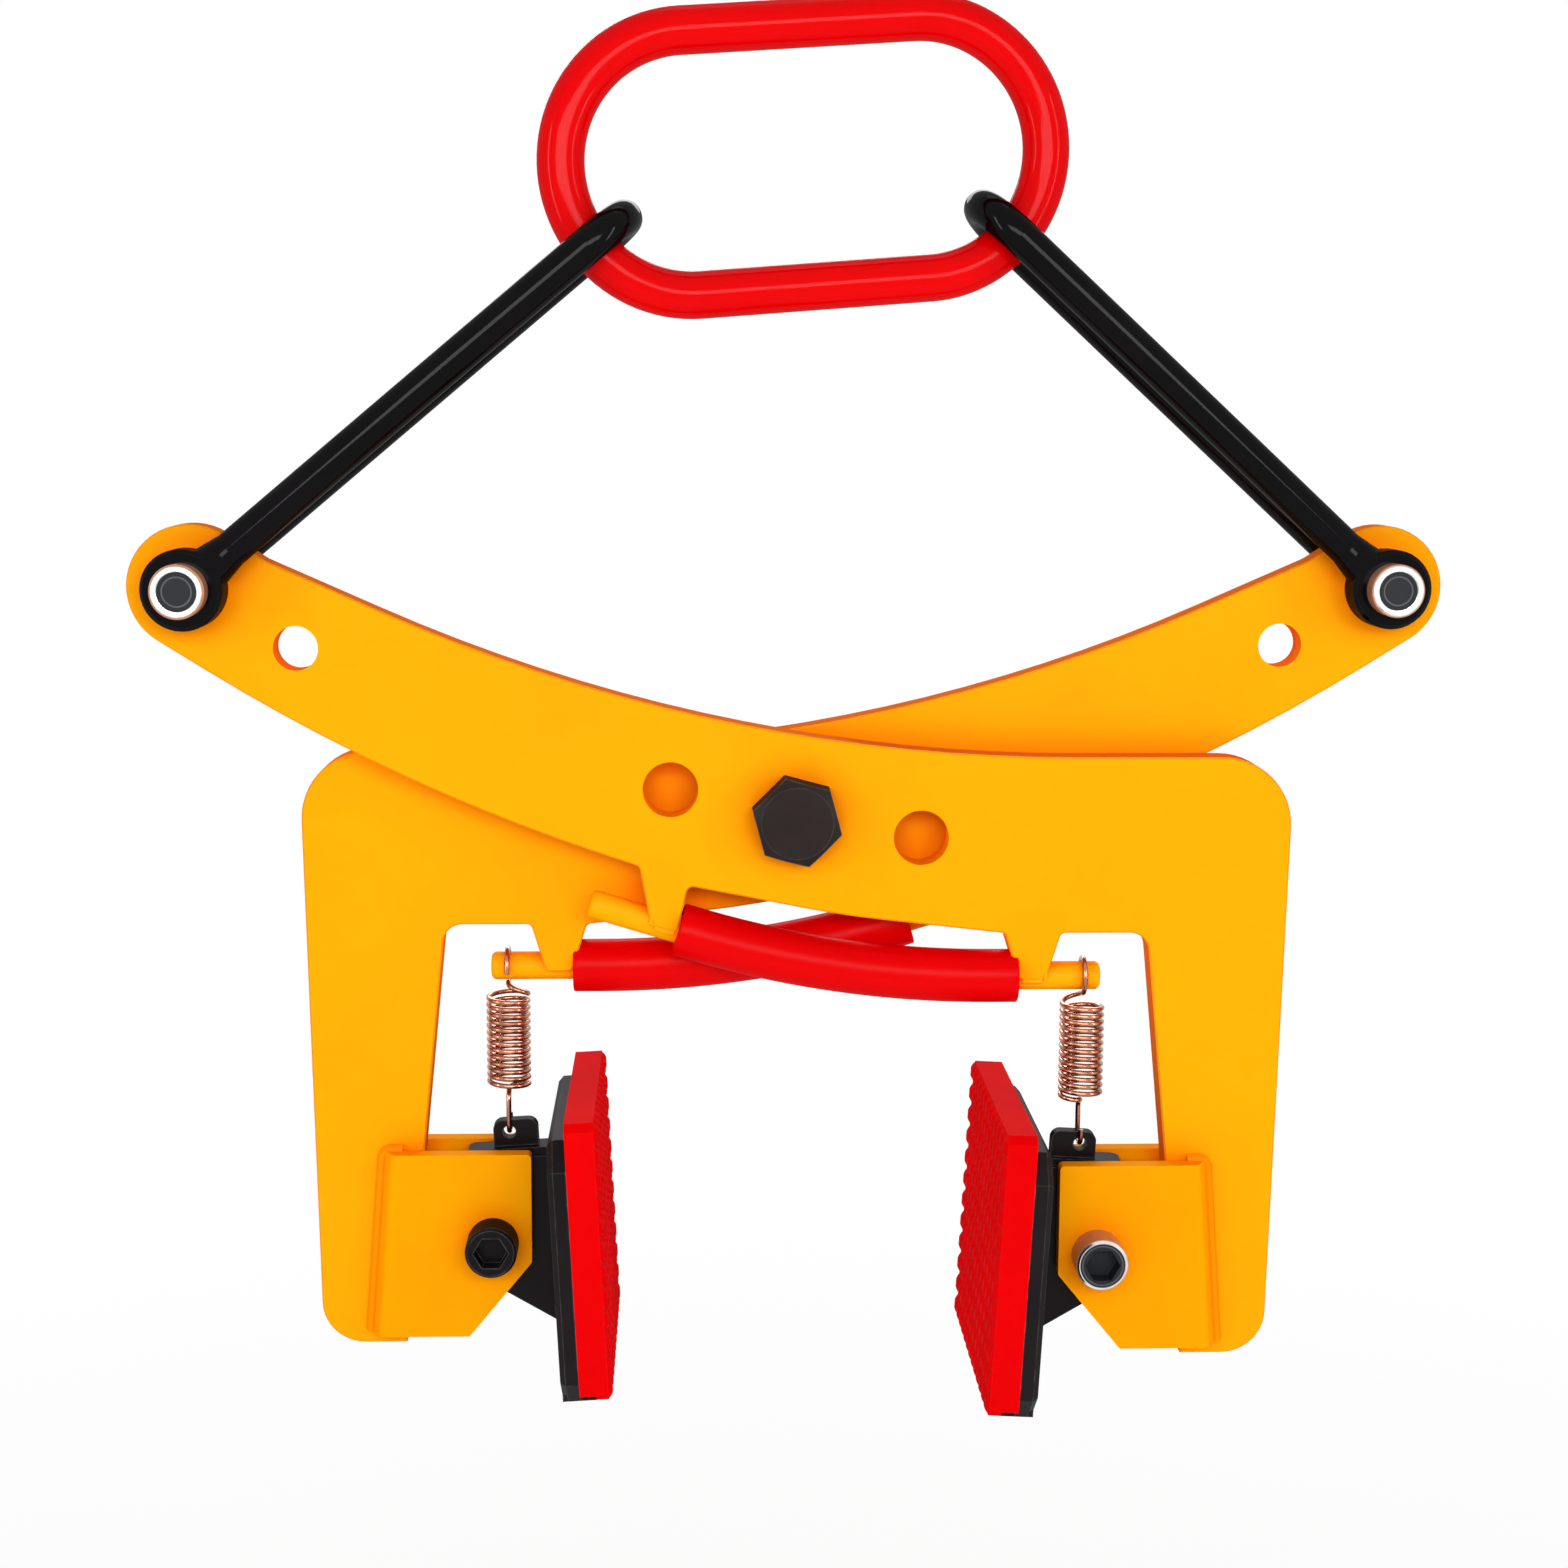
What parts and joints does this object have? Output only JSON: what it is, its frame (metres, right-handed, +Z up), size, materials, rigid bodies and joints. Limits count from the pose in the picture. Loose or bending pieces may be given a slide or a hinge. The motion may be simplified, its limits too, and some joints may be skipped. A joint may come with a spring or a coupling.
{
  "type": "block lifting tongs",
  "caption": "Scissor lifting tongs with crossed plate arms, oval master link, shackles, sprung studded grip pads and sleeved buffer rods, for blocks and kerbs.",
  "frame": {"origin": "middle of the upper inside of the master link, where a crane hook bears", "axes": "+Z up against the pull of the load; +X to the right and -Y to the front, where the bolt heads show"},
  "size_m": [0.5952, 0.1594, 0.6323],
  "materials": {
    "amber_paint": "smooth powder coat",
    "red_paint": "gloss paint",
    "black_paint": "gloss paint",
    "black_cast": "painted cast skin",
    "black_oxide": "black oxide",
    "zinc_steel": "zinc plated",
    "bronze": "turned",
    "red_rubber": "satin moulded",
    "copper_wire": "coppered wire"
  },
  "bodies": {
    "ring": {"master_link": "red_paint"},
    "front_link": {"front_shackle": "black_paint", "front_link_bolt": "zinc_steel", "front_link_nut": "zinc_steel"},
    "front_arm": {"front_arm_plate": "amber_paint", "front_link_bush": "bronze", "front_link_spacers": "zinc_steel", "front_buffer_rod": "amber_paint", "front_buffer_sleeve": "red_rubber", "front_outer_cheek": "amber_paint", "front_inner_cheek": "amber_paint", "front_pad_bolt": "black_oxide", "front_pad_nut": "zinc_steel", "front_spring": "copper_wire", "pivot_bolt": "black_oxide", "pivot_nut": "black_oxide", "pivot_washer": "zinc_steel", "thrust_washer": "bronze"},
    "front_pad": {"front_pad_carrier": "black_cast", "front_pad_bush": "bronze", "front_grip_pad": "red_rubber", "front_pad_screws": "black_oxide"},
    "rear_link": {"rear_shackle": "black_paint", "rear_link_bolt": "zinc_steel", "rear_link_nut": "zinc_steel"},
    "rear_arm": {"rear_arm_plate": "amber_paint", "rear_link_bush": "bronze", "rear_link_spacers": "zinc_steel", "rear_buffer_rod": "amber_paint", "rear_buffer_sleeve": "red_rubber", "rear_outer_cheek": "amber_paint", "rear_inner_cheek": "amber_paint", "rear_pad_bolt": "black_oxide", "rear_pad_nut": "zinc_steel", "rear_spring": "copper_wire"},
    "rear_pad": {"rear_pad_carrier": "black_cast", "rear_pad_bush": "bronze", "rear_grip_pad": "red_rubber", "rear_pad_screws": "black_oxide"}
  },
  "joints": [
    {"name": "front_link_swing", "type": "hinge", "parent": "ring", "child": "front_link", "pos_m": [-0.04796, -0.00594, -0.05072], "axis": [0, -1, 0], "range_deg": [-3.6, 5.9]},
    {"name": "front_eye", "type": "hinge", "parent": "front_link", "child": "front_arm", "pos_m": [-0.26958, -0.01122, -0.23699], "axis": [0, 1, 0], "range_deg": [-9.6, 15.9]},
    {"name": "main_pivot", "type": "hinge", "parent": "front_arm", "child": "rear_arm", "pos_m": [0.00002, 0.00048, -0.34099], "axis": [0, -1, 0], "range_deg": [-12, 20]},
    {"name": "rear_eye", "type": "hinge", "parent": "rear_arm", "child": "rear_link", "pos_m": [0.26962, 0.01218, -0.23699], "axis": [0, 1, 0], "range_deg": [-9.6, 15.9]},
    {"name": "front_pad_swing", "type": "hinge", "parent": "front_arm", "child": "front_pad", "pos_m": [0.14015, -0.01122, -0.54377], "axis": [0, 1, 0], "range_deg": [-10, 0], "stiffness_Nm_per_rad": 3, "springref_deg": 28.65, "deforming": ["front_spring"]},
    {"name": "rear_pad_swing", "type": "hinge", "parent": "rear_arm", "child": "rear_pad", "pos_m": [-0.1401, 0.01218, -0.54377], "axis": [0, -1, 0], "range_deg": [-10, 0], "stiffness_Nm_per_rad": 3, "springref_deg": 28.65, "deforming": ["rear_spring"]}
  ],
  "couplings": [
    {"joint": "front_link_swing", "follows": "main_pivot", "ratio": 0.285},
    {"joint": "front_eye", "follows": "main_pivot", "ratio": 0.785},
    {"joint": "rear_eye", "follows": "main_pivot", "ratio": 0.785}
  ]
}
